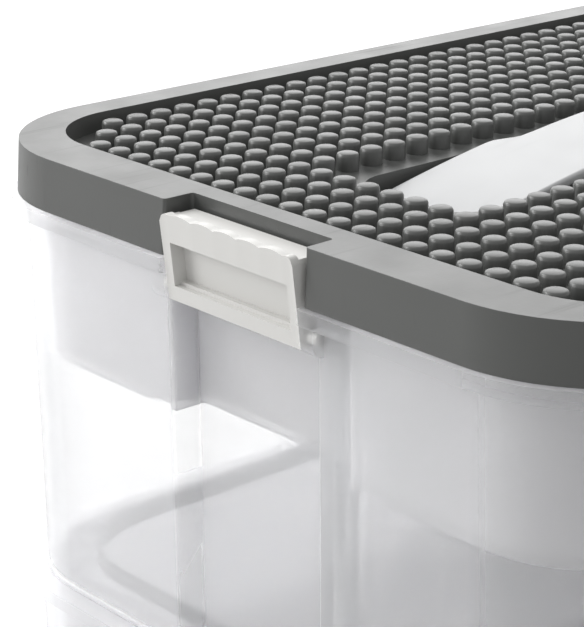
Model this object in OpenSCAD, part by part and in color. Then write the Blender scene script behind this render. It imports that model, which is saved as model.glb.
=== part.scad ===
// Two-tier sewing box: two clear containers stacked on each other, each with a lift-out tray,
// and a lid with a stud field and a pull-up strap handle, held down by a latch at each end.
// Frame: origin at the centre of the footprint, at the height of the surface it stands on.
// +X runs along the length, +Y across, +Z up. The latches are on the two X ends.

/* [Containers] */
// Length over the rims
box_l = 298; // [250:1:360]
// Width over the rims
box_w = 206; // [180:1:260]
// Height from one rim to the next
tier_h = 97; // [80:1:130]
// Corner radius of the rims, seen from above
corner_r = 37; // [30:1:40]
// Wall thickness of the containers
wall = 2; // [1.6:0.1:3]
// How far the walls come in from top to bottom
draft = 1.2; // [0.4:0.1:1.6]
// Height of the foot ring under each container
foot_h = 4.6; // [3:0.2:8]

/* [Rim] */
// How far the rim stands out from the wall
rim_out = 3.9; // [3.6:0.1:6]
// Height of the rim's edge
rim_h = 3.4; // [2.6:0.1:5]
// Radius along the rim's edges
rim_round = 1.2; // [0.6:0.1:1.2]

/* [Latch recess] */
// Width of the recess in each end wall
recess_w = 48; // [44:1:60]
// Depth of the recess in each end wall
recess_d = 7.7; // [7:0.1:9]
// Depth of the notch in the rim and in the lid over each recess
notch_d = 9.3; // [9:0.1:11]

/* [Tray] */
// Height of the trays under their lips
tray_h = 40; // [25:1:60]
// Wall thickness of the trays
tray_wall = 1.5; // [1.2:0.1:2.4]
// Space between the outside of a container's wall and the outside of its tray
tray_gap = 4; // [3.6:0.1:6]
// Thickness of the lip that a tray hangs by
lip_t = 1.3; // [1:0.1:2]

/* [Lid] */
// Height of the lid's skirt
lid_h = 12.5; // [12:0.1:18]
// How far the rim stands out beyond the skirt
rim_show = 1.5; // [1:0.1:2.5]
// Thickness of the skirt
skirt_t = 2.2; // [1.8:0.1:3]
// How far the skirt comes in from its bottom edge to its top
skirt_draft = 0.6; // [0.2:0.1:1]
// Radius along the skirt's top edge
skirt_round = 1.8; // [1:0.1:2]
// Width of the border at the latch ends
border_end = 13.6; // [12:0.1:20]
// Width of the border along the sides
border_side = 8.7; // [7:0.1:16]
// Corner radius of the stud field
field_r = 22.5; // [18:0.5:28]
// Depth of the stud field below the border
field_drop = 4.85; // [4:0.05:6]
// Thickness of the panel that carries the studs
panel_t = 2; // [1.6:0.1:3]

/* [Studs] */
// Distance from stud to stud
pitch = 7.5; // [7:0.1:10]
// Diameter of a stud
stud_d = 5.4; // [4:0.1:6]
// Height of a stud
stud_h = 4.1; // [3:0.1:4.6]
// Least distance from a stud to the border and to the ends of the well
stud_gap = 1.5; // [0.5:0.1:3]

/* [Handle] */
// Length of the opening over the finger well
well_l = 195.8; // [160:0.2:220]
// Width of the finger well
well_w = 36; // [32:0.5:50]
// Corner radius of the opening
well_r = 10; // [6:0.5:12]
// Depth of the well below the panel
well_drop = 15.2; // [14:0.2:20]
// How far the well runs on under the panel at each end
well_tuck = 8; // [6:0.5:12]
// Inner corner radius of the well under the panel
tuck_r = 4; // [2:0.5:8]
// Width of the strap at its ends
strap_end_w = 31.5; // [28:0.5:34]
// Width of the strap at the grip
strap_grip_w = 23.3; // [20:0.1:28]
// Thickness of the strap
strap_t = 2.6; // [2:0.1:3.4]
// Height of the strap's middle above the stud tops
strap_rise = 2.8; // [1:0.1:6]

/* [Latches] */
// Width of a latch
latch_w = 42.5; // [38:0.5:44]
// Height of a latch
latch_h = 20.2; // [18:0.1:21]
// Thickness of a latch
latch_t = 4.9; // [4.4:0.1:5.4]
// How far a latch leans out at its top
latch_lean = 2.3; // [1:0.1:3]
// How far the foot of a latch stands in from the rim's edge
latch_in = 2; // [1.6:0.1:3]
// Depth of the hinge pins below the rim
pin_drop = 6.8; // [6:0.1:7.2]
// Radius of the hinge pins
pin_r = 1.5; // [1.2:0.05:1.8]
// Width of a hinge ear
ear_t = 4.3; // [3.6:0.1:5]

/* [Fits] */
// Gap between faces that rest on each other
seat_gap = 0.2; // [0.1:0.05:0.3]
// Gap between a tray and what lies over it
tray_play = 0.3; // [0.2:0.05:0.5]
// Radial clearance of the hinge pins
pin_play = 0.1; // [0.05:0.01:0.1]
// Gap at each side of a latch
latch_play = 0.45; // [0.3:0.05:0.8]
// Gap between the hook of a latch and its catch
hook_play = 0.4; // [0.3:0.05:0.6]

/* [Hidden] */
$fn = 64;
over = 1;                                        // how far cutting shapes run past a face
bond = 0.5;                                      // how far joined shapes run into each other

// Heights, from the surface upwards
shell_h = tier_h - lip_t - tray_play;            // from a container's shoulder to its rim
lower_z = foot_h;                                // shoulder of the lower container
lower_rim = lower_z + shell_h;
upper_z = lower_rim + lip_t + tray_play;         // shoulder of the upper container
upper_rim = upper_z + shell_h;
lid_z = upper_rim + seat_gap;
lid_top = lid_z + lid_h;
panel_top = lid_top - field_drop;
panel_under = panel_top - panel_t;
stud_top = panel_top + stud_h;
well_floor = panel_top - well_drop;

// Plan sizes of a container's outside wall at its rim
wall_l = box_l - 2 * rim_out;
wall_w = box_w - 2 * rim_out;
wall_r = corner_r - rim_out;
end_x = wall_l / 2;
recess_x = end_x - recess_d;                     // outside face of the recess at the rim
notch_x = box_l / 2 - notch_d;                   // back of the notch in the rim and the lid

// Plan sizes of the lid at its bottom edge
lid_l = box_l - 2 * rim_show;
lid_w = box_w - 2 * rim_show;
lid_r = corner_r - rim_show;
notch_w = latch_w + 2.5;                         // width of the notch in the lid over each latch
field_l = lid_l - 2 * skirt_draft - 2 * border_end;
field_w = lid_w - 2 * skirt_draft - 2 * border_side;

// Plan sizes of a tray's outside wall at its lip
tray_l = wall_l - 2 * tray_gap;
tray_w = wall_w - 2 * tray_gap;
tray_r = wall_r - tray_gap;
tray_draft = 1.2;                                // how far its walls come in towards the floor
bay_gap = tray_gap + 0.5;                        // between a recess and the tray's bay round it
bay_w = recess_w + 2 * bay_gap;
bay_x = recess_x - bay_gap;                      // outside face of the tray in that bay

// The foot ring drops into the mouth of the tray below
foot_play = 1.2;
foot_l = 2 * (bay_x - tray_wall - foot_play);
foot_w = tray_w - 2 * tray_wall - 2 * foot_play;
foot_t = 2;

// Latch, measured from its hinge pin
below_pin = 2.5;                                 // latch body below the pin axis
front_x = box_l / 2 - latch_in;                  // front face at the bottom of the latch
pin_x = front_x - latch_t / 2;
ear_r = 3.5;                                     // radius of the ears round the pins
bore_floor = 0.9;                                // material past the end of a pin bore
hook_t = 4.8;
hook_z = 11.75;                                  // underside of the hook above the pin axis
hook_gap = 0.7;                                  // from the tip of the hook to the notch
hook_grip = 1.6;                                 // how far the hook reaches over the catch
hook_x = notch_x + hook_gap;
catch_x = hook_x + hook_grip;
catch_slope = 1.3;                               // height of the slope on the catch
catch_h = pin_drop + hook_play - hook_z;         // top of the catch below the rim, negative is above
hook_w = latch_w - 2;

// A bar of the given section, carried round a rounded rectangle
// The section's x runs outwards from the corner centre, its y runs up
module round_the(l, w, r) {
    for (sx = [-1, 1], sy = [-1, 1])
        translate([sx * (l / 2 - r), sy * (w / 2 - r), 0])
            rotate([0, 0, sx > 0 ? (sy > 0 ? 0 : -90) : (sy > 0 ? 90 : 180)])
                rotate_extrude(angle = 90) children();
    for (sy = [0, 180])
        rotate([0, 0, sy]) translate([-(l / 2 - r), w / 2 - r, 0])
            rotate([90, 0, 90]) linear_extrude(l - 2 * r) children();
    for (sx = [0, 180])
        rotate([0, 0, sx]) translate([l / 2 - r, w / 2 - r, 0])
            rotate([90, 0, 0]) linear_extrude(w - 2 * r) children();
}

// A rounded block whose sides lean: g0 and g1 are how far they stand in at the bottom and the top
module block(l, w, r, z0, z1, g0 = 0, g1 = 0) {
    round_the(l, w, r)
        polygon([[0, z0], [r - g0, z0], [r - g1, z1], [0, z1]]);
    translate([-(l / 2 - r), -(w / 2 - r), z0])
        cube([l - 2 * r, w - 2 * r, z1 - z0]);
}

// The same outline drawn on both ends
module both_ends() {
    children();
    mirror([1, 0, 0]) children();
}

// A profile in X and Z, given a width across Y
module across(w) {
    translate([0, w / 2, 0]) rotate([90, 0, 0]) linear_extrude(w) children();
}

// One container, from its foot ring to its rim, with its shoulder at z = 0
module container(with_ears) {
    difference() {
        union() {
            difference() {
                union() {
                    block(wall_l, wall_w, wall_r, 0, shell_h, draft, 0);
                    rim();
                }
                difference() {
                    block(wall_l - 2 * wall, wall_w - 2 * wall, wall_r - wall,
                        wall, shell_h + over, draft, 0);
                    both_ends() recess_block(recess_w + 2 * wall, recess_x - wall, over, 0);
                }
                both_ends() recess_block(recess_w, recess_x, 2 * over, 1);
            }
            if (with_ears) both_ends() ears();
            foot();
        }
        if (with_ears) pin_bores();
    }
}

// The rim's edge, with rounded corners in section
module rim() {
    e = rim_round;
    difference() {
        round_the(box_l, box_w, corner_r) translate([0, shell_h]) {
            translate([corner_r - rim_out - wall / 2, -rim_h]) square([rim_out + wall / 2 - e, rim_h]);
            translate([corner_r - e - over, e - rim_h]) square([e + over, rim_h - 2 * e]);
            translate([corner_r - e, -e]) circle(e);
            translate([corner_r - e, e - rim_h]) circle(e);
        }
        both_ends() translate([notch_x, -ear_inner(), shell_h - rim_h - over])
            cube([box_l, 2 * ear_inner(), rim_h + 2 * over]);
    }
}
function ear_inner() = latch_w / 2 + latch_play;

// The recess of an end wall as a cutting block: the inner one cuts the wall's core up to the rim,
// the outer one stops under the rim and goes on as a narrower notch through it
module recess_block(w, x, past, outer) {
    top = outer ? shell_h - rim_h : shell_h + over;
    across(w) polygon([[x - draft, -past], [box_l / 2, -past], [box_l / 2, top], [x, top]]);
    if (outer)
        translate([notch_x, -ear_inner(), top - over]) cube([box_l, 2 * ear_inner(), rim_h + 2 * over]);
}

// Two ears under the rim carry the hinge pins of a latch
module ears() {
    set_in = 0.6;
    ear_h = pin_drop - set_in;
    root_x = recess_x - wall / 2;
    for (s = [-1, 1])
        translate([0, s * (ear_inner() + ear_t / 2), shell_h - pin_drop]) across(ear_t) {
            translate([pin_x, 0]) circle(ear_r);
            translate([pin_x - ear_r, 0]) square([2 * ear_r, ear_h]);
            translate([root_x, pin_drop - rim_h]) square([pin_x - root_x, rim_h - set_in]);
        }
}

// Blind bores of the hinge pins
module pin_bores() {
    both_ends() translate([pin_x, 0, shell_h - pin_drop]) rotate([90, 0, 0])
        cylinder(r = pin_r + pin_play, h = 2 * (ear_inner() + ear_t - bore_floor), center = true);
}

// The ring that stands on the surface, or drops into the tray below
module foot() {
    foot_r = tray_r - tray_wall - foot_play;
    difference() {
        block(foot_l, foot_w, foot_r, -foot_h, wall / 2);
        block(foot_l - 2 * foot_t, foot_w - 2 * foot_t, foot_r - foot_t, -foot_h - over, wall);
    }
}

module lower_container() {
    color("whitesmoke") translate([0, 0, lower_z]) container(false);
}

module upper_container() {
    color("whitesmoke") translate([0, 0, upper_z]) container(true);
}

// One tray with its lip on the rim at z = 0
module tray() {
    lip_play = 0.5;
    lip_l = lid_l - 2 * (skirt_draft + skirt_t + lip_play);
    lip_w = lid_w - 2 * (skirt_draft + skirt_t + lip_play);
    lip_r = lid_r - skirt_draft - skirt_t - lip_play;
    lip_in = 2.4;
    nick_w = 7.5;
    nick_h = 1.3;
    nick_y = bay_w / 2 + 6;
    difference() {
        union() {
            block(tray_l, tray_w, tray_r, -tray_h, lip_t, tray_draft, 0);
            block(lip_l, lip_w, lip_r, 0, lip_t);
        }
        difference() {
            block(tray_l - 2 * tray_wall, tray_w - 2 * tray_wall, tray_r - tray_wall,
                -tray_h + tray_wall, lip_t + over, tray_draft, 0);
            both_ends() bay_block(bay_w + 2 * tray_wall, bay_x - tray_wall, lip_t + 2 * over);
        }
        both_ends() bay_block(bay_w, bay_x, 0);
        // The lip stops short of the lid's notch
        both_ends() translate([notch_x - skirt_t - lip_play, -(bay_w / 2 - lip_in), -over])
            cube([box_l, bay_w - 2 * lip_in, lip_t + 2 * over]);
        // Nicks in the bottom edge beside the bay
        both_ends() for (s = [-1, 1])
            translate([bay_x, s * nick_y - nick_w / 2, -tray_h - over])
                cube([box_l, nick_w, over + nick_h]);
    }
}

// The bay of a tray round the latch recess
module bay_block(w, x, top) {
    across(w) polygon([[x - tray_draft, -tray_h - over], [box_l, -tray_h - over], [box_l, top], [x, top]]);
}

module lower_tray() {
    color("gainsboro") translate([0, 0, lower_rim]) tray();
}

module upper_tray() {
    color("gainsboro") translate([0, 0, upper_rim]) tray();
}

// One latch at the +X end, with its pin axis at z = 0
module latch() {
    top = latch_h - below_pin;
    pocket = [1.7, 11];                              // lower and upper edge of the pocket
    pocket_side = 2.5;
    pocket_d = 3.4;
    pin_end = 1.4;                                   // how far a pin stops short of the ear's outside
    function front(z) = front_x + latch_lean / latch_h * (z + below_pin);
    function back(z) = front(z) - latch_t;
    difference() {
        across(latch_w) polygon([
            [back(-below_pin), -below_pin], [front(-below_pin), -below_pin], [front(top), top], [back(top), top]
        ]);
        across(latch_w - 2 * pocket_side) polygon([
            [front(pocket[0]) - pocket_d, pocket[0]], [front(pocket[0]) + over, pocket[0]],
            [front(pocket[1]) + over, pocket[1]], [front(pocket[1]) - pocket_d, pocket[1]]
        ]);
        translate([front_x - latch_t, 0, top]) scallops();
    }
    across(hook_w) polygon([
        [hook_x, hook_z], [back(hook_z) + bond, hook_z],
        [back(hook_z) + bond, hook_z + hook_t], [hook_x, hook_z + hook_t]
    ]);
    translate([pin_x, 0, 0]) rotate([90, 0, 0])
        cylinder(r = pin_r, h = 2 * (ear_inner() + ear_t - pin_end), center = true);
}

// What is cut from a latch's top edge, at z = 0, to leave five low humps
module scallops() {
    n = 5;
    hump_r = 9;
    hump_w = (latch_w - 6) / n;
    depth = 3;
    rotate([90, 0, 90]) linear_extrude(latch_t + latch_lean + over) difference() {
        translate([-latch_w / 2 - over, -depth]) square([latch_w + 2 * over, depth + over]);
        translate([-latch_w / 2, -depth - over]) square([latch_w, depth]);
        for (i = [0 : n - 1])
            translate([(i - (n - 1) / 2) * hump_w, -hump_r]) circle(hump_r);
    }
}

module latch_left() {
    color("white") translate([0, 0, upper_rim - pin_drop]) mirror([1, 0, 0]) latch();
}

module latch_right() {
    color("white") translate([0, 0, upper_rim - pin_drop]) latch();
}

// The lid: bordered panel with a stud field, a finger well and a notch over each latch
module lid() {
    color("dimgray") union() {
        difference() {
            union() {
                lid_outside();
                well_outside();
            }
            lid_inside();
            field_cut();
            well_inside();
            both_ends() notch_block(notch_w, notch_x, over);
        }
        both_ends() lid_catch();
        studs();
    }
}

// Drafted skirt with a rounded top edge
module lid_outside() {
    s = skirt_round;
    d = skirt_draft;
    round_the(lid_l, lid_w, lid_r) {
        polygon([[0, lid_z], [lid_r, lid_z], [lid_r - d, lid_top - s], [lid_r - d - s, lid_top], [0, lid_top]]);
        translate([lid_r - d - s, lid_top - s]) circle(s);
    }
    translate([-(lid_l / 2 - lid_r), -(lid_w / 2 - lid_r), lid_z])
        cube([lid_l - 2 * lid_r, lid_w - 2 * lid_r, lid_h]);
}

// Hollow of the lid: under the panel, and up into the border
module lid_inside() {
    difference() {
        union() {
            block(lid_l - 2 * skirt_t, lid_w - 2 * skirt_t, lid_r - skirt_t,
                lid_z - over, panel_under, 0, skirt_draft);
            difference() {
                block(lid_l - 2 * skirt_t, lid_w - 2 * skirt_t, lid_r - skirt_t,
                    panel_under - over, lid_top - skirt_t, skirt_draft, skirt_draft);
                block(field_l + 2 * panel_t, field_w + 2 * panel_t, field_r + panel_t,
                    panel_under - 2 * over, lid_top);
            }
        }
        well_outside();
        both_ends() notch_block(notch_w + 2 * skirt_t, notch_x - skirt_t, 2 * over);
    }
}

module field_cut() {
    block(field_l, field_w, field_r, panel_top, lid_top + over);
}

module notch_block(w, x, past) {
    translate([x, -w / 2, lid_z - past]) cube([box_l, w, lid_h + 2 * past]);
}

// The catch that the hook of a latch takes hold of
module lid_catch() {
    top = upper_rim - catch_h;
    across(latch_w - 1) polygon([
        [notch_x - bond, lid_z], [catch_x, lid_z], [catch_x, top - catch_slope],
        [hook_x, top], [notch_x - bond, top]
    ]);
}

module well_outside() {
    block(well_l + 2 * well_tuck + 2 * panel_t, well_w + 2 * panel_t, tuck_r + panel_t,
        well_floor - panel_t, panel_under + panel_t / 2);
}

module well_inside() {
    block(well_l + 2 * well_tuck, well_w, tuck_r, well_floor, panel_under);
    block(well_l, well_w, well_r, panel_under - over, panel_top + over);
}

// Stud field: every place on the grid that clears the border, its corners and the well
module studs() {
    clear = stud_d / 2 + stud_gap;
    cols = floor((field_l / 2 - clear) / pitch);
    rows = floor((field_w / 2 - clear) / pitch + 0.5);
    for (i = [-cols : cols], j = [0 : 2 * rows - 1]) {
        x = i * pitch;
        y = (j - rows + 0.5) * pitch;
        dx = max(0, abs(x) - field_l / 2 + field_r);
        dy = max(0, abs(y) - field_w / 2 + field_r);
        over_well = abs(x) < well_l / 2 + clear && abs(y) < well_w / 2 + stud_d / 2;
        if (norm([dx, dy]) < field_r - clear && !over_well)
            translate([x, y, panel_top - panel_t / 2]) cylinder(d = stud_d, h = stud_h + panel_t / 2, $fn = 24);
    }
}

// Height of the strap's top face at a distance x from its middle
function arch(x) = stud_top + strap_rise - (strap_rise + dive) * pow(x / dive_x, bend);
bend = 1.8;                                      // 2 would be a parabola, less is flatter at the ends
dive_gap = 9.4;                                  // from there to the end of the opening
dive_x = well_l / 2 - dive_gap;                  // distance at which the strap turns down to its tongue
dive = 7.5;                                      // how far its top face is below the studs there

// Half the width of the strap at a distance x from its middle
function half_w(x) = let(t = min(1, max(0, (x - neck_x) / neck_l)))
    strap_grip_w / 2 + (strap_end_w - strap_grip_w) / 2 * (1 - cos(180 * t)) / 2;
neck_x = 46;                                     // distance at which the grip begins to widen
neck_l = 9;                                      // length over which it widens

tip_gap = 0.5;                                   // from the tip of a tongue to the end of the well
tongue_gap = 0.3;                                // from a tongue to the floor of the well
root_gap = 4.5;                                  // from the root of a tongue to the end of the opening

// Pull-up strap: arched grip, wide ends, and a tongue that is held under the panel at each end
module handle() {
    tip = well_l / 2 + well_tuck - tip_gap;
    tongue = well_floor + tongue_gap;
    root = well_l / 2 - root_gap;
    heel = 2;                                        // how far the underside turns before the top does
    lean = 0.3;                                      // keeps the strap's thickness square to its slope
    n = 14;
    steps = [for (k = [0 : n]) dive_x * k / n];
    side = concat(
        [for (x = steps) [x, arch(x)]],
        [[root, tongue + strap_t], [tip, tongue + strap_t], [tip, tongue], [root - heel, tongue]],
        [for (k = [len(steps) - 1 : -1 : 0]) [max(0, steps[k] - lean), arch(steps[k]) - strap_t]]
    );
    plan_x = [0, for (k = [0 : neck_l]) neck_x + k, tip];
    plan = concat(
        [for (x = plan_x) [x, half_w(x)]],
        [for (k = [len(plan_x) - 1 : -1 : 0]) [plan_x[k], -half_w(plan_x[k])]]
    );
    color("white") both_ends() intersection() {
        across(strap_end_w + 2 * over) polygon(side);
        translate([0, 0, tongue - over]) linear_extrude(stud_top + strap_rise - tongue + 2 * over) polygon(plan);
    }
}

lower_container();
lower_tray();
upper_container();
upper_tray();
latch_left();
latch_right();
lid();
handle();
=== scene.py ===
import math
import bmesh
import bpy
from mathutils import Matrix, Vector


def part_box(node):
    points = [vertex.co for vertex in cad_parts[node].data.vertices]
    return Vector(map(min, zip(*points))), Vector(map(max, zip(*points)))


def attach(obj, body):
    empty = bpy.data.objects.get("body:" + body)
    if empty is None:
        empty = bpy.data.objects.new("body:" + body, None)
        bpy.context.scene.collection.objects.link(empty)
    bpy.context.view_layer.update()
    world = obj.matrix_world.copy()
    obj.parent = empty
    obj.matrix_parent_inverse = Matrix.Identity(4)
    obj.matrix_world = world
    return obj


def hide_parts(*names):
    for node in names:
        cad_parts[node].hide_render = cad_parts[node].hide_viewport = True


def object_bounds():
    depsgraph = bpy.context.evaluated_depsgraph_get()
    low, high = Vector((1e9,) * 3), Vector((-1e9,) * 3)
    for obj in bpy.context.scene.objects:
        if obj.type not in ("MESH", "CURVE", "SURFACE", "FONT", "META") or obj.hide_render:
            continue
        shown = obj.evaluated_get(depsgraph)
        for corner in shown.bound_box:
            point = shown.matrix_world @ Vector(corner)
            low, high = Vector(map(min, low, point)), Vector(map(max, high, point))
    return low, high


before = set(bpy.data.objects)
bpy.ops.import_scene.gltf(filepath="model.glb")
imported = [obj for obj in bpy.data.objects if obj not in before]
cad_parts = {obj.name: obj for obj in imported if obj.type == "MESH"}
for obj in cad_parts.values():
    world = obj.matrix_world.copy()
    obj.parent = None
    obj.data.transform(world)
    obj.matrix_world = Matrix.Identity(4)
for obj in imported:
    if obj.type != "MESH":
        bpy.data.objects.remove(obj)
cad_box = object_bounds()
mm = 0.001

# ---------------------------------------------------------------------------------------------
# The studio: a white table that runs on out of sight, soft white light all round, a large soft
# lamp behind the box, a small one above it and one at its left. The table glows a little for the
# camera only, so it stays white without lighting the box from below.
# ---------------------------------------------------------------------------------------------
bpy.ops.object.select_all(action="DESELECT")
table_size, table_drop = 9, 0.3 * mm
bpy.ops.mesh.primitive_plane_add(size=table_size, location=(0, 0, -table_drop))
table = bpy.context.object
table.name = "table"

table_white = bpy.data.materials.new("table_white")
table_white.use_nodes = True
shader = table_white.node_tree.nodes["Principled BSDF"]
shader.inputs["Base Color"].default_value = (0.5, 0.5, 0.5, 1)
shader.inputs["Roughness"].default_value = 0.9
shader.inputs["Specular IOR Level"].default_value = 0.1
shader.inputs["Emission Color"].default_value = (1, 1, 1, 1)
seen = table_white.node_tree.nodes.new("ShaderNodeLightPath")
glow = table_white.node_tree.nodes.new("ShaderNodeMath")
glow.operation = "MULTIPLY"
glow.inputs[1].default_value = 0.42
table_white.node_tree.links.new(seen.outputs["Is Camera Ray"], glow.inputs[0])
table_white.node_tree.links.new(glow.outputs["Value"], shader.inputs["Emission Strength"])
table.data.materials.append(table_white)

sky = bpy.data.worlds.new("studio")
sky.use_nodes = True
sky.node_tree.nodes["Background"].inputs["Color"].default_value = (1, 1, 1, 1)
sky.node_tree.nodes["Background"].inputs["Strength"].default_value = 0.85
bpy.context.scene.world = sky


def softbox(name, place, aim, size, power):
    """A square soft lamp at a place, turned towards a point of the box."""
    turn = (Vector(aim) - Vector(place)).to_track_quat("-Z", "Y").to_euler()
    bpy.ops.object.light_add(type="AREA", location=place, rotation=turn)
    lamp = bpy.context.object
    lamp.name = name
    lamp.data.size = size
    lamp.data.energy = power


box_middle = (0, 0, 0.1)
softbox("lamp_far", (1.2, 1.35, 0.85), box_middle, 2, 20)
softbox("lamp_top", (-0.5, 1.3, 1.3), box_middle, 0.6, 14)
softbox("lamp_left", (-1.1, 1.0, 0.7), box_middle, 0.8, 11)

# The camera stands close, and looks down on the latch end at the near left of the box. It aims at
# a point a little in from that end, beside the middle, and below the top.
view_turn = math.radians(48.42)
view_tilt = math.radians(19.54)
view_distance = 0.4314
aim_in, aim_side, aim_down = 4.6 * mm, -16 * mm, 18.2 * mm
aim = Vector((cad_box[0].x + aim_in, aim_side, cad_box[1].z - aim_down))
back_along = Vector((
    -math.cos(view_turn) * math.cos(view_tilt),
    -math.sin(view_turn) * math.cos(view_tilt),
    math.sin(view_tilt),
))
eye = aim + view_distance * back_along
bpy.ops.object.camera_add(location=eye, rotation=(aim - eye).to_track_quat("-Z", "Y").to_euler())
camera = bpy.context.object
camera.name = "camera"
camera.data.lens = 121.96
camera.data.sensor_width = 36
camera.data.clip_start = 0.01
bpy.context.scene.camera = camera
bpy.context.scene.view_settings.view_transform = "Standard"

# ---------------------------------------------------------------------------------------------
# The lid: one moulding in dark grey polypropylene, with a deep skirt, a flat border, a sunken
# panel, a finger well in its middle, and a notch with a catch over each latch of the box.
# ---------------------------------------------------------------------------------------------
lid_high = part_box("lid")[1]
border_top = lid_high.z
lid_h = 12.5 * mm
skirt_low = border_top - lid_h
lid_x, lid_y = lid_high.x, lid_high.y
lid_r = 35.5 * mm
lid_lean = 0.6 * mm
skirt_t = 2.2 * mm
top_round = 1 * mm
notch_x, notch_y, notch_r = 139.7 * mm, 22.5 * mm, 0.8 * mm
border_end, border_side = 14.2 * mm, 9.3 * mm
field_x, field_y, field_r = lid_x - border_end, lid_y - border_side, 22.5 * mm
field_drop, panel_t = 4.85 * mm, 2 * mm
panel_top = border_top - field_drop
well_x, well_y, well_r = 97.9 * mm, 18 * mm, 10 * mm
well_tuck, well_drop = 8 * mm, 15.2 * mm
tuck_r = 4 * mm
well_floor = panel_top - well_drop
catch_x, catch_y, catch_h = 142 * mm, 20.75 * mm, 4.35 * mm
past = 1 * mm                                    # how far cutting tools run past a face
hair = 0.1 * mm                                  # near enough, when points and edges are picked


def edit(piece, kind="FACE"):
    """Opens one piece for editing, with nothing on it selected."""
    bpy.ops.object.select_all(action="DESELECT")
    piece.select_set(True)
    bpy.context.view_layer.objects.active = piece
    bpy.ops.object.mode_set(mode="EDIT")
    bpy.ops.mesh.select_mode(type=kind)
    bpy.ops.mesh.select_all(action="DESELECT")


def leave():
    bpy.ops.object.mode_set(mode="OBJECT")


def pick(piece, kind, test):
    """Selects the points, edges or faces of the open piece that pass a test on place and direction."""
    bpy.ops.mesh.select_mode(type=kind)
    bpy.ops.mesh.select_all(action="DESELECT")
    mesh = bmesh.from_edit_mesh(piece.data)
    mesh.normal_update()
    if kind == "VERT":
        for v in mesh.verts:
            v.select = bool(test(v.co, v.normal))
    if kind == "EDGE":
        for e in mesh.edges:
            a, b = e.verts[0].co, e.verts[1].co
            e.select = bool(test((a + b) / 2, (b - a).normalized()))
    if kind == "FACE":
        for f in mesh.faces:
            f.select = bool(test(f.calc_center_median(), f.normal))
    mesh.select_flush_mode()
    bmesh.update_edit_mesh(piece.data)


def plan(name, x, y, z, r, bite=None, round_bite=0.6 * mm):
    """A flat outline lying at height z: a rounded rectangle, with a bite taken out of both ends."""
    bpy.ops.object.select_all(action="DESELECT")
    bpy.ops.mesh.primitive_plane_add(size=2, location=(0, 0, z))
    piece = bpy.context.object
    piece.name = piece.data.name = name
    piece.scale = (x, y, 1)
    bpy.ops.object.transform_apply(location=True, rotation=True, scale=True)
    edit(piece)
    if bite:
        for side in (-1, 1):
            for place, across in (((side * bite[0], 0, z), (1, 0, 0)), ((0, side * bite[1], z), (0, 1, 0))):
                bpy.ops.mesh.select_all(action="SELECT")
                bpy.ops.mesh.bisect(plane_co=place, plane_no=across)
        pick(piece, "FACE", lambda at, n: abs(at.x) > bite[0] and abs(at.y) < bite[1])
        bpy.ops.mesh.delete(type="FACE")
        bpy.ops.mesh.select_all(action="SELECT")
        bpy.ops.mesh.dissolve_faces(use_verts=False)
        pick(piece, "VERT", lambda at, n: abs(at.y) > y - 0.1 * mm and abs(at.x) < x - 0.1 * mm)
        bpy.ops.mesh.dissolve_verts()
        pick(piece, "VERT", lambda at, n: abs(at.y) < bite[1] + 0.1 * mm)
        bpy.ops.mesh.bevel(offset=round_bite, segments=3, affect="VERTICES")
    pick(piece, "VERT", lambda at, n: abs(at.x) > x - 0.1 * mm and abs(at.y) > y - 0.1 * mm)
    bpy.ops.mesh.bevel(offset=r, segments=14, affect="VERTICES")
    leave()
    return piece


def raise_plan(piece, steps):
    """Draws an outline up into a solid. Each step is a height and how far the sides stand in there."""
    x, y, z = (max(v.co[i] for v in piece.data.vertices) for i in range(3))
    lean = 0
    edit(piece)
    bpy.ops.mesh.select_all(action="SELECT")
    for height, stand_in in steps:
        bpy.ops.mesh.extrude_region_move(TRANSFORM_OT_translate={"value": (0, 0, height - z)})
        across = ((x - stand_in) / (x - lean), (y - stand_in) / (y - lean), 1)
        bpy.ops.transform.resize(value=across, center_override=(0, 0, height))
        z, lean = height, stand_in
    bpy.ops.mesh.select_all(action="SELECT")
    bpy.ops.mesh.normals_make_consistent(inside=False)
    leave()
    return piece


def block(name, x, y, r, z0, z1, lean=0, bite=None):
    return raise_plan(plan(name, x, y, z0, r, bite), [(z1, lean)])


def carve(piece, tool, how="DIFFERENCE"):
    """Takes a tool out of a piece, or joins it on, and puts the tool away."""
    cut = piece.modifiers.new(how.lower(), "BOOLEAN")
    cut.operation = how
    cut.solver = "EXACT"
    cut.object = tool
    bpy.ops.object.select_all(action="DESELECT")
    bpy.context.view_layer.objects.active = piece
    bpy.ops.object.modifier_apply(modifier=cut.name)
    bpy.data.objects.remove(tool)


def soften(piece, width, segments=2, angle=35):
    """Rounds every sharp edge a little, as a mould does, and shades the piece smooth."""
    bpy.ops.object.select_all(action="DESELECT")
    piece.select_set(True)
    bpy.context.view_layer.objects.active = piece
    edge = piece.modifiers.new("edge", "BEVEL")
    edge.width = width
    edge.segments = segments
    edge.limit_method = "ANGLE"
    edge.angle_limit = math.radians(angle)
    edge.use_clamp_overlap = True
    bpy.ops.object.modifier_apply(modifier=edge.name)
    bpy.ops.object.shade_smooth_by_angle(angle=math.radians(40))
    flat = piece.modifiers.new("flat", "WEIGHTED_NORMAL")
    flat.keep_sharp = True
    bpy.ops.object.modifier_apply(modifier=flat.name)


def box(name, low, high, lean=0):
    """A plain block between two corners; lean moves its top along X."""
    bpy.ops.object.select_all(action="DESELECT")
    middle = [(a + b) / 2 for a, b in zip(low, high)]
    bpy.ops.mesh.primitive_cube_add(size=1, location=middle, scale=[b - a for a, b in zip(low, high)])
    piece = bpy.context.object
    piece.name = piece.data.name = name
    bpy.ops.object.transform_apply(location=True, rotation=True, scale=True)
    if lean:
        edit(piece)
        pick(piece, "FACE", lambda at, n: n.z > 0.9)
        bpy.ops.transform.translate(value=(lean, 0, 0))
        leave()
    return piece


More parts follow.
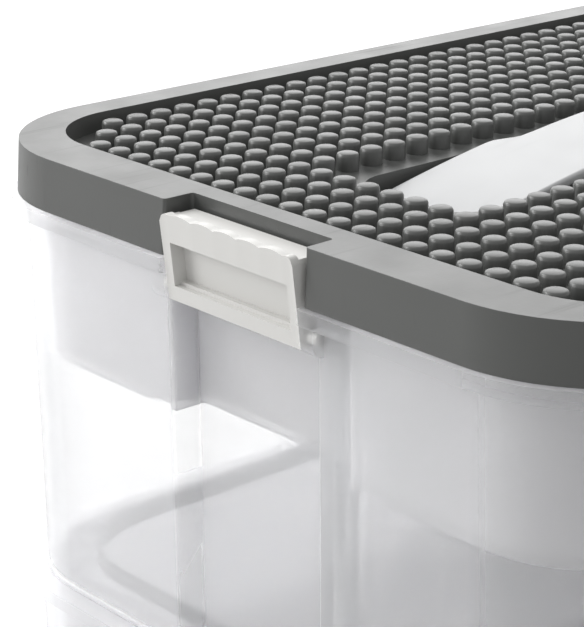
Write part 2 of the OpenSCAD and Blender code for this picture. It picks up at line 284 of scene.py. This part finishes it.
def moulded_group():
    """Moulded plastic: cloudy colour, a fine grain from the mould, uneven gloss and rubbed marks."""
    group = bpy.data.node_groups.new("moulded_plastic", "ShaderNodeTree")
    for name, kind, value in (
            ("Colour", "NodeSocketColor", (0.5, 0.5, 0.5, 1)), ("Cloud", "NodeSocketColor", (0.4, 0.4, 0.4, 1)),
            ("Gloss Low", "NodeSocketFloat", 0.3), ("Gloss High", "NodeSocketFloat", 0.5),
            ("Grain Size", "NodeSocketFloat", 1800), ("Grain Depth", "NodeSocketFloat", 0.1),
            ("Marks", "NodeSocketFloat", 0.2)):
        socket = group.interface.new_socket(name=name, in_out="INPUT", socket_type=kind)
        socket.default_value = value
    for name, kind in (("Colour", "NodeSocketColor"), ("Roughness", "NodeSocketFloat"),
                       ("Normal", "NodeSocketVector")):
        group.interface.new_socket(name=name, in_out="OUTPUT", socket_type=kind)
    nodes, link = group.nodes, group.links.new
    given = nodes.new("NodeGroupInput")
    result = nodes.new("NodeGroupOutput")
    place = nodes.new("ShaderNodeTexCoord").outputs["Object"]

    cloud = nodes.new("ShaderNodeTexNoise")
    cloud.inputs["Scale"].default_value = 28
    cloud.inputs["Detail"].default_value = 3
    link(place, cloud.inputs["Vector"])
    tint = nodes.new("ShaderNodeMix")
    tint.data_type = "RGBA"
    link(cloud.outputs["Fac"], tint.inputs["Factor"])
    link(given.outputs["Colour"], tint.inputs["A"])
    link(given.outputs["Cloud"], tint.inputs["B"])
    link(tint.outputs["Result"], result.inputs["Colour"])

    stretch = nodes.new("ShaderNodeMapping")
    stretch.inputs["Rotation"].default_value = (0.5, 0.3, 0.7)
    stretch.inputs["Scale"].default_value = (14, 420, 160)
    link(place, stretch.inputs["Vector"])
    rub = nodes.new("ShaderNodeTexNoise")
    rub.inputs["Scale"].default_value = 1
    rub.inputs["Detail"].default_value = 2
    link(stretch.outputs["Vector"], rub.inputs["Vector"])
    thin = nodes.new("ShaderNodeMapRange")
    thin.inputs["From Min"].default_value = 0.62
    thin.inputs["From Max"].default_value = 0.74
    link(rub.outputs["Fac"], thin.inputs["Value"])
    marks = nodes.new("ShaderNodeMath")
    marks.operation = "MULTIPLY"
    link(thin.outputs["Result"], marks.inputs[0])
    link(given.outputs["Marks"], marks.inputs[1])

    patch = nodes.new("ShaderNodeTexNoise")
    patch.inputs["Scale"].default_value = 75
    patch.inputs["Detail"].default_value = 4
    link(place, patch.inputs["Vector"])
    gloss = nodes.new("ShaderNodeMapRange")
    gloss.inputs["From Min"].default_value = 0.3
    gloss.inputs["From Max"].default_value = 0.7
    link(patch.outputs["Fac"], gloss.inputs["Value"])
    link(given.outputs["Gloss Low"], gloss.inputs["To Min"])
    link(given.outputs["Gloss High"], gloss.inputs["To Max"])
    rubbed = nodes.new("ShaderNodeMath")
    rubbed.operation = "ADD"
    rubbed.use_clamp = True
    link(gloss.outputs["Result"], rubbed.inputs[0])
    link(marks.outputs["Value"], rubbed.inputs[1])
    link(rubbed.outputs["Value"], result.inputs["Roughness"])

    grain = nodes.new("ShaderNodeTexNoise")
    grain.inputs["Detail"].default_value = 2
    link(place, grain.inputs["Vector"])
    link(given.outputs["Grain Size"], grain.inputs["Scale"])
    bump = nodes.new("ShaderNodeBump")
    bump.inputs["Distance"].default_value = 0.2 * mm
    link(given.outputs["Grain Depth"], bump.inputs["Strength"])
    link(grain.outputs["Fac"], bump.inputs["Height"])
    link(bump.outputs["Normal"], result.inputs["Normal"])
    return group


moulded = moulded_group()


def plastic(name, colour, cloud, gloss, grain_size, grain_depth, marks):
    """A plastic whose colour, gloss and grain come from the shared moulded surface."""
    stuff = bpy.data.materials.new(name)
    stuff.use_nodes = True
    nodes, link = stuff.node_tree.nodes, stuff.node_tree.links.new
    shader = nodes["Principled BSDF"]
    surface = nodes.new("ShaderNodeGroup")
    surface.node_tree = moulded
    for socket, value in (("Colour", (*colour, 1)), ("Cloud", (*cloud, 1)), ("Gloss Low", gloss[0]),
                          ("Gloss High", gloss[1]), ("Grain Size", grain_size), ("Grain Depth", grain_depth),
                          ("Marks", marks)):
        surface.inputs[socket].default_value = value
    link(surface.outputs["Colour"], shader.inputs["Base Color"])
    link(surface.outputs["Roughness"], shader.inputs["Roughness"])
    link(surface.outputs["Normal"], shader.inputs["Normal"])
    return stuff


def finish(piece, stuff, slot, body, *nodes):
    """Gives a finished piece its plastic and its body, and hides the CAD nodes it stands for."""
    piece.data.materials.clear()
    piece.data.materials.append(stuff)
    if nodes:
        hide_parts(*nodes)
    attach(piece, body)


lid = plan("lid_shell", lid_x, lid_y, skirt_low, lid_r, bite=(notch_x, notch_y), round_bite=notch_r)
raise_plan(lid, [(border_top, lid_lean)])
edit(lid)
pick(lid, "EDGE", lambda at, way: at.z > border_top - hair and abs(way.z) < 0.1
     and not (abs(at.x) < notch_x + past and abs(at.y) < notch_y + past))
bpy.ops.mesh.bevel(offset=top_round, segments=5, affect="EDGES", clamp_overlap=True)
leave()

hollow = block("hollow", lid_x - skirt_t, lid_y - skirt_t, lid_r - skirt_t, skirt_low - past,
               panel_top - panel_t, lid_lean / 2, bite=(notch_x - skirt_t, notch_y + skirt_t))
well = block("well", well_x + well_tuck + panel_t, well_y + panel_t, tuck_r + panel_t,
             well_floor - panel_t, panel_top - panel_t / 2)
carve(lid, hollow)
channel = block("channel", lid_x - skirt_t - lid_lean, lid_y - skirt_t - lid_lean, lid_r - skirt_t,
                panel_top - panel_t - past, border_top - skirt_t, 0, bite=(notch_x - skirt_t, notch_y + skirt_t))
carve(channel, block("channel_core", field_x + panel_t, field_y + panel_t, field_r + panel_t,
                     panel_top - panel_t - 2 * past, border_top))
carve(lid, channel)
carve(lid, well, "UNION")
carve(lid, block("field", field_x, field_y, field_r, panel_top, border_top + past))
carve(lid, block("well_hollow", well_x + well_tuck, well_y, tuck_r, well_floor, panel_top - panel_t))
carve(lid, block("well_mouth", well_x, well_y, well_r, panel_top - panel_t - past, panel_top + past))
for end in (-1, 1):
    xs = sorted((end * (notch_x - past / 2), end * catch_x))
    catch = box("catch", (xs[0], -catch_y, skirt_low + hair / 5), (xs[1], catch_y, skirt_low + catch_h))
    carve(lid, catch, "UNION")
soften(lid, 0.5 * mm)
grey = plastic("grey_plastic", (0.079, 0.081, 0.078), (0.069, 0.071, 0.068), (0.32, 0.40), 1500, 0.06, 0.1)
finish(lid, grey, "grey_plastic", "lid", "lid")

# ---------------------------------------------------------------------------------------------
# The studs: part of the lid's moulding, low round pegs on a square grid all over the panel,
# with rounded tops. They leave out the well and the corners of the field.
# ---------------------------------------------------------------------------------------------
pitch = 7.5 * mm
stud_r, stud_h, stud_sunk = 2.7 * mm, 4.1 * mm, 0.5 * mm
columns, rows = 17, 12
first = (-columns * pitch, -(rows - 0.5) * pitch)
stud_gap, stud_round = 1.5 * mm, 0.75 * mm
clear = stud_r + stud_gap

bpy.ops.object.select_all(action="DESELECT")
bpy.ops.mesh.primitive_cylinder_add(vertices=16, radius=stud_r, depth=stud_h + stud_sunk,
                                    location=(*first, panel_top + (stud_h - stud_sunk) / 2))
studs = bpy.context.object
studs.name = studs.data.name = "lid_studs"
bpy.ops.object.transform_apply(location=True, rotation=True, scale=True)
edit(studs)
pick(studs, "FACE", lambda at, n: n.z > 0.9)
bpy.ops.mesh.bevel(offset=stud_round, segments=2, affect="EDGES")
pick(studs, "FACE", lambda at, n: n.z < -0.9)
bpy.ops.mesh.delete(type="FACE")
leave()
for count, step in ((2 * columns + 1, (pitch, 0, 0)), (2 * rows, (0, pitch, 0))):
    row = studs.modifiers.new("row", "ARRAY")
    row.count = count
    row.use_relative_offset = False
    row.use_constant_offset = True
    row.constant_offset_displace = step
    bpy.ops.object.modifier_apply(modifier=row.name)


def left_out(at, n):
    x = abs(round((at.x - first[0]) / pitch) * pitch + first[0])
    y = abs(round((at.y - first[1]) / pitch) * pitch + first[1])
    over_well = x < well_x + clear and y < well_y + stud_r
    corner = math.hypot(max(0, x - field_x + field_r), max(0, y - field_y + field_r))
    return over_well or corner > field_r - clear


edit(studs)
pick(studs, "VERT", left_out)
bpy.ops.mesh.delete(type="VERT")
leave()
bpy.ops.object.select_all(action="DESELECT")
studs.select_set(True)
bpy.context.view_layer.objects.active = studs
bpy.ops.object.shade_smooth_by_angle(angle=math.radians(50))
finish(studs, grey, "grey_plastic", "lid")

# ---------------------------------------------------------------------------------------------
# The strap handle: one strip of white polypropylene, arched over the finger well, narrow where
# the hand takes it and wide at both ends, which turn down and run on under the lid's panel.
# ---------------------------------------------------------------------------------------------
stud_top = panel_top + stud_h
strap_rise, strap_t = 2.8 * mm, 2.6 * mm
dive_x, dive = 88.5 * mm, 7.5 * mm
grip_y, end_y = 11.65 * mm, 15.75 * mm
neck_x, neck_l = 46 * mm, 9 * mm
tongue_gap, tip_x = 0.3 * mm, 105.3 * mm
tongue_top = well_floor + tongue_gap + strap_t
turn_down = ((90.6, 5.6), (92.6, 1.6), (95, 0))  # where it bends to its tongue: place, height above it


def strap_at(x):
    fall = (strap_rise + dive) * (x / dive_x) ** 1.8
    turn = min(1, max(0, (x - neck_x) / neck_l))
    return stud_top + strap_rise - fall, grip_y + (end_y - grip_y) * (1 - math.cos(math.pi * turn)) / 2


bpy.ops.object.select_all(action="DESELECT")
bpy.ops.mesh.primitive_plane_add(size=2, location=(0, 0, 0))
strap = bpy.context.object
strap.name = strap.data.name = "strap_handle"
edit(strap)
pick(strap, "VERT", lambda at, n: at.x > 0)
bpy.ops.mesh.delete(type="VERT")
bpy.ops.mesh.select_all(action="SELECT")
z, y = strap_at(0)
bpy.ops.transform.translate(value=(1, 0, z))
bpy.ops.transform.resize(value=(1, y, 1), center_override=(0, 0, z))
x = 0
stations = [(k * 5.5 * mm, *strap_at(k * 5.5 * mm)) for k in range(1, 9)]
stations += [(neck_x + k * neck_l / 6, *strap_at(neck_x + k * neck_l / 6)) for k in range(1, 7)]
stations += [(k * mm, *strap_at(k * mm)) for k in (60, 66, 72, 78, 84)] + [(dive_x, *strap_at(dive_x))]
stations += [(at * mm, tongue_top + above * mm, end_y) for at, above in turn_down]
stations += [(tip_x, tongue_top, end_y)]
for next_x, next_z, next_y in stations:
    bpy.ops.mesh.extrude_edges_move(TRANSFORM_OT_translate={"value": (next_x - x, 0, next_z - z)})
    bpy.ops.transform.resize(value=(1, next_y / y, 1), center_override=(next_x, 0, next_z))
    x, z, y = next_x, next_z, next_y
bpy.ops.mesh.select_all(action="SELECT")
bpy.ops.mesh.duplicate()
bpy.ops.transform.resize(value=(-1, 1, 1), center_override=(0, 0, 0))
bpy.ops.mesh.select_all(action="SELECT")
bpy.ops.mesh.remove_doubles(threshold=0.05 * mm)
bpy.ops.mesh.normals_make_consistent(inside=False)
leave()
if sum(f.normal.z for f in strap.data.polygons) < 0:
    strap.data.flip_normals()
body = strap.modifiers.new("body", "SOLIDIFY")
body.thickness = strap_t
body.offset = -1
body.use_even_offset = True
bpy.ops.object.modifier_apply(modifier=body.name)
soften(strap, 0.8 * mm, 3, 50)
white = plastic("white_plastic", (0.46, 0.465, 0.47), (0.44, 0.445, 0.45), (0.34, 0.44), 1200, 0.03, 0.08)
finish(strap, white, "white_plastic", "handle", "handle")

# ---------------------------------------------------------------------------------------------
# The latches: one small moulding in warm white polypropylene at each end. It has a pocket in its
# front for a fingertip, a scalloped lip, and a plate behind it that hooks over the lid's catch.
# Round pins on its sides turn in ears on the upper container.
# ---------------------------------------------------------------------------------------------
latch_low, latch_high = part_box("latch_left")
latch_y, latch_t, latch_lean = 21.25 * mm, 4.9 * mm, 2.3 * mm
latch_foot = latch_low.z
latch_top = latch_high.z
latch_h = latch_top - latch_foot
front = -147 * mm
slope = -latch_lean / latch_h
pin_x, pin_z, pin_r = 144.55 * mm, latch_foot + 2.5 * mm, 1.5 * mm
pin_l, pin_y = 4.4 * mm, 22.4 * mm


def front_at(z):
    return front + slope * (z - latch_foot)


latch = box("latch_left_body", (front, -latch_y, latch_foot), (front + latch_t, latch_y, latch_top), -latch_lean)
hump, hump_r, corner, corner_drop = 7.3 * mm, 12 * mm, 3 * mm, 2.2 * mm
humps_y = 2.5 * hump
cuts = [k * hump / 8 for k in range(-20, 21)]
cuts += [side * (humps_y + corner * k / 5) for side in (-1, 1) for k in range(1, 5)]
edit(latch)
for at_y in cuts:
    bpy.ops.mesh.select_all(action="SELECT")
    bpy.ops.mesh.bisect(plane_co=(0, at_y, 0), plane_no=(0, 1, 0))
for at_y in sorted(cuts) + [-latch_y, latch_y]:
    off = abs((at_y + hump / 2) % hump - hump / 2)
    sink = hump_r - math.sqrt(hump_r ** 2 - off ** 2)
    beyond = (abs(at_y) - humps_y) / corner
    if beyond > 0:
        valley = hump_r - math.sqrt(hump_r ** 2 - (hump / 2) ** 2)
        sink = valley * (1 - beyond) ** 3 + corner_drop * (1 - math.sqrt(max(0, 1 - beyond ** 2)))
    if sink > 0.005 * mm:
        pick(latch, "VERT", lambda at, n: abs(at.y - at_y) < hair / 5 and at.z > latch_top - hair)
        bpy.ops.transform.translate(value=(0, 0, -sink))
leave()
hook_low, hook_t = pin_z + 11.75 * mm, 4.8 * mm
hook_tip, hook_y = -140.4 * mm, 20.25 * mm
front_t = 2.1 * mm
lip_back = front_at(latch_top) + front_t
carve(latch, box("shelf", (lip_back, -latch_y - past, hook_low + hook_t),
                 (lip_back + 2 * latch_t, latch_y + past, latch_top + past)))
hook_root = front_at(hook_low) + latch_t - 0.6 * mm
carve(latch, box("hook", (hook_root, -hook_y, hook_low), (hook_tip, hook_y, hook_low + hook_t)), "UNION")
pocket_low, pocket_high = pin_z + 1.7 * mm, pin_z + 11 * mm
pocket_y, pocket_d = latch_y - 2.5 * mm, 3.4 * mm
tool_t = 8 * mm
lean = slope * (pocket_high - pocket_low)
floor_x = front_at(pocket_low) + pocket_d
carve(latch, box("pocket", (floor_x - tool_t, -pocket_y, pocket_low), (floor_x, pocket_y, pocket_high), lean))
carve(latch, box("step", (floor_x - tool_t, -pocket_y, pocket_low - 0.7 * mm),
                 (floor_x - 1.7 * mm, pocket_y, pocket_low + 0.5 * mm)))
slits = ((-4.6, 15, 0.45, 0.5), (-19.1, -8.9, 0.45, 0.5), (3.8, 6.1, 1.5, 1))
for low_y, high_y, height, depth in slits:
    back = front_at(pocket_high) + pocket_d
    carve(latch, box("slit", (back - 0.5 * mm, low_y * mm, pocket_high - height * mm),
                     (back + depth * mm, high_y * mm, pocket_high + hair / 5)))
for side in (-1, 1):
    bpy.ops.object.select_all(action="DESELECT")
    bpy.ops.mesh.primitive_cylinder_add(vertices=32, radius=pin_r, depth=pin_l,
                                        location=(-pin_x, side * pin_y, pin_z), rotation=(math.pi / 2, 0, 0))
    pin = bpy.context.object
    bpy.ops.object.transform_apply(location=True, rotation=True, scale=True)
    carve(latch, pin, "UNION")
soften(latch, 0.45 * mm, 3)
latch_white = plastic("latch_plastic", (0.60, 0.597, 0.578), (0.575, 0.567, 0.55), (0.34, 0.44), 1400, 0.03, 0.08)

twin = latch.copy()
twin.data = latch.data.copy()
twin.name = twin.data.name = "latch_right_body"
bpy.context.collection.objects.link(twin)
bpy.ops.object.select_all(action="DESELECT")
twin.select_set(True)
bpy.context.view_layer.objects.active = twin
twin.rotation_euler = (0, 0, math.pi)
bpy.ops.object.transform_apply(location=True, rotation=True, scale=True)
finish(latch, latch_white, "latch_plastic", "latch_left", "latch_left")
finish(twin, latch_white, "latch_plastic", "latch_right", "latch_right")

# ---------------------------------------------------------------------------------------------
# The containers: two equal tubs in clear, slightly milky polypropylene, each one moulding with a
# thick rim, a recess in both end walls and a foot ring below. The upper one also carries the
# ears for the latches' pins.
# ---------------------------------------------------------------------------------------------
tub_low, tub_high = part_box("upper_container")
rim_x, rim_y, rim_r = tub_high.x, tub_high.y, 37 * mm
rim_top = tub_high.z
foot_low = tub_low.z
foot_h, rim_h, rim_out, wall, draft = 4.6 * mm, 3.4 * mm, 3.9 * mm, 2 * mm, 1.2 * mm
shoulder = foot_low + foot_h
wall_x, wall_y, wall_r = rim_x - rim_out, rim_y - rim_out, rim_r - rim_out
recess_x, recess_y = wall_x - 7.7 * mm, 24 * mm
floor_round, rim_round = 2 * mm, 1.2 * mm
ear_y, ear_t, ear_r, ear_set_in = 21.7 * mm, 4.3 * mm, 3.5 * mm, 0.6 * mm
bore_r, bore_floor = 1.6 * mm, 0.9 * mm


def rounded(piece, offset, segments, test):
    """Rounds the edges of a piece that pass a test."""
    edit(piece)
    pick(piece, "EDGE", test)
    bpy.ops.mesh.bevel(offset=offset, segments=segments, affect="EDGES", clamp_overlap=True)
    leave()
    return piece


tub = block("upper_tub", wall_x - draft, wall_y - draft, wall_r - draft, shoulder, rim_top - hair / 2, -draft,
            bite=(recess_x - draft, recess_y))
rounded(tub, floor_round, 4, lambda at, way: at.z < shoulder + hair and abs(way.z) < 0.1)
rim = block("rim", rim_x, rim_y, rim_r, rim_top - rim_h, rim_top, 0, bite=(notch_x, ear_y))
rounded(rim, rim_round, 4, lambda at, way: abs(way.z) < 0.1
        and (abs(at.x) > notch_x + past / 2 or abs(at.y) > ear_y + past))
carve(tub, rim, "UNION")
foot_x, foot_y, foot_r, foot_t = 130.2 * mm, 92.4 * mm, 26.4 * mm, 2 * mm
carve(tub, block("foot", foot_x, foot_y, foot_r, foot_low, shoulder + past), "UNION")
carve(tub, block("inside", wall_x - wall - draft, wall_y - wall - draft, wall_r - wall - draft, shoulder + wall,
                 rim_top + past, -draft, bite=(recess_x - wall - draft, recess_y + wall)))
carve(tub, block("foot_inside", foot_x - foot_t, foot_y - foot_t, foot_r - foot_t, foot_low - past, shoulder))

low_tub = tub.copy()
low_tub.data = tub.data.copy()
low_tub.name = low_tub.data.name = "lower_tub"
bpy.context.collection.objects.link(low_tub)
bpy.ops.object.select_all(action="DESELECT")
low_tub.select_set(True)
bpy.context.view_layer.objects.active = low_tub
low_tub.location = (0, 0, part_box("lower_container")[0].z - foot_low)
bpy.ops.object.transform_apply(location=True, rotation=True, scale=True)

for end in (-1, 1):
    for side in (-1, 1):
        ys = sorted((side * ear_y, side * (ear_y + ear_t)))
        xs = sorted((end * (pin_x - ear_r), end * (pin_x + ear_r)))
        ear = box("ear", (xs[0], ys[0], pin_z), (xs[1], ys[1], rim_top - ear_set_in))
        bpy.ops.object.select_all(action="DESELECT")
        bpy.ops.mesh.primitive_cylinder_add(vertices=40, radius=ear_r, depth=ear_t, rotation=(math.pi / 2, 0, 0),
                                            location=(end * pin_x, sum(ys) / 2, pin_z))
        knuckle = bpy.context.object
        bpy.ops.object.transform_apply(location=True, rotation=True, scale=True)
        carve(ear, knuckle, "UNION")
        carve(tub, ear, "UNION")
    bpy.ops.object.select_all(action="DESELECT")
    bpy.ops.mesh.primitive_cylinder_add(vertices=40, radius=bore_r, depth=2 * (ear_y + ear_t - bore_floor),
                                        location=(end * pin_x, 0, pin_z), rotation=(math.pi / 2, 0, 0))
    bore = bpy.context.object
    bpy.ops.object.transform_apply(location=True, rotation=True, scale=True)
    carve(tub, bore)
soften(tub, 0.35 * mm)
soften(low_tub, 0.35 * mm)


def see_through(stuff, face_on, edge_on, depth):
    """Makes a plastic milky: light spreads in it, and some goes through, less where it is seen edge-on."""
    nodes, link = stuff.node_tree.nodes, stuff.node_tree.links.new
    shader = nodes["Principled BSDF"]
    slant = nodes.new("ShaderNodeLayerWeight")
    slant.inputs["Blend"].default_value = 0.2
    haze = nodes.new("ShaderNodeMapRange")
    haze.inputs["To Min"].default_value = face_on
    haze.inputs["To Max"].default_value = edge_on
    link(slant.outputs["Facing"], haze.inputs["Value"])
    link(haze.outputs["Result"], shader.inputs["Alpha"])
    shader.inputs["Subsurface Weight"].default_value = 1
    shader.inputs["Subsurface Scale"].default_value = depth
    shader.inputs["Subsurface Radius"].default_value = (1, 1, 1)


clear_plastic = plastic("clear_plastic", (0.81, 0.815, 0.83), (0.80, 0.805, 0.825), (0.16, 0.2), 700, 0.01, 0.03)
see_through(clear_plastic, 0.02, 0.85, 6 * mm)
finish(tub, clear_plastic, "clear_plastic", "upper_container", "upper_container")
finish(low_tub, clear_plastic, "clear_plastic", "lower_container", "lower_container")

# ---------------------------------------------------------------------------------------------
# The trays: one in each container, milky polypropylene, thin walls that come in towards the
# floor, a lip all round that hangs on the container's rim, and a bay round each recess.
# ---------------------------------------------------------------------------------------------
tray_low, tray_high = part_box("upper_tray")
tray_floor, lip_top = tray_low.z, tray_high.z
lip_x, lip_y, lip_t = tray_high.x, tray_high.y, 1.3 * mm
tray_gap, tray_wall, tray_draft = 4 * mm, 1.5 * mm, 1.2 * mm
tray_x, tray_y, tray_r = wall_x - tray_gap, wall_y - tray_gap, wall_r - tray_gap
bay_gap = 4.5 * mm
bay_x, bay_y = recess_x - bay_gap, recess_y + bay_gap
lip_r, lip_end, lip_in, tray_round = 32.2 * mm, 137 * mm, 2.4 * mm, 2.2 * mm
nick_gap, nick_w, nick_h = 2.2 * mm, 7.5 * mm, 1.3 * mm

tray = block("upper_tray_body", tray_x - tray_draft, tray_y - tray_draft, tray_r - tray_draft, tray_floor,
             lip_top - hair / 5, -tray_draft, bite=(bay_x - tray_draft, bay_y))
rounded(tray, tray_round, 4, lambda at, way: at.z < tray_floor + hair and abs(way.z) < 0.1)
lip = block("lip", lip_x, lip_y, lip_r, lip_top - lip_t, lip_top, 0, bite=(lip_end, bay_y - lip_in))
carve(tray, lip, "UNION")
carve(tray, block("tray_inside", tray_x - tray_wall - tray_draft, tray_y - tray_wall - tray_draft,
                  tray_r - tray_wall - tray_draft, tray_floor + tray_wall, lip_top + past, -tray_draft,
                  bite=(bay_x - tray_wall - tray_draft, bay_y + tray_wall)))
for end in (-1, 1):
    for side in (-1, 1):
        xs = sorted((end * (bay_x + past / 2), end * (tray_x + 5 * past)))
        ys = sorted((side * (bay_y + nick_gap), side * (bay_y + nick_gap + nick_w)))
        carve(tray, box("nick", (xs[0], ys[0], tray_floor - past), (xs[1], ys[1], tray_floor + nick_h)))
soften(tray, 0.35 * mm)
milky = plastic("milky_plastic", (0.91, 0.905, 0.945), (0.90, 0.895, 0.94), (0.34, 0.42), 900, 0.02, 0.05)
see_through(milky, 0.48, 0.85, 4 * mm)

low_tray = tray.copy()
low_tray.data = tray.data.copy()
low_tray.name = low_tray.data.name = "lower_tray_body"
bpy.context.collection.objects.link(low_tray)
bpy.ops.object.select_all(action="DESELECT")
low_tray.select_set(True)
bpy.context.view_layer.objects.active = low_tray
low_tray.location = (0, 0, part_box("lower_tray")[0].z - tray_floor)
bpy.ops.object.transform_apply(location=True, rotation=True, scale=True)
finish(tray, milky, "milky_plastic", "upper_tray", "upper_tray")
finish(low_tray, milky, "milky_plastic", "lower_tray", "lower_tray")
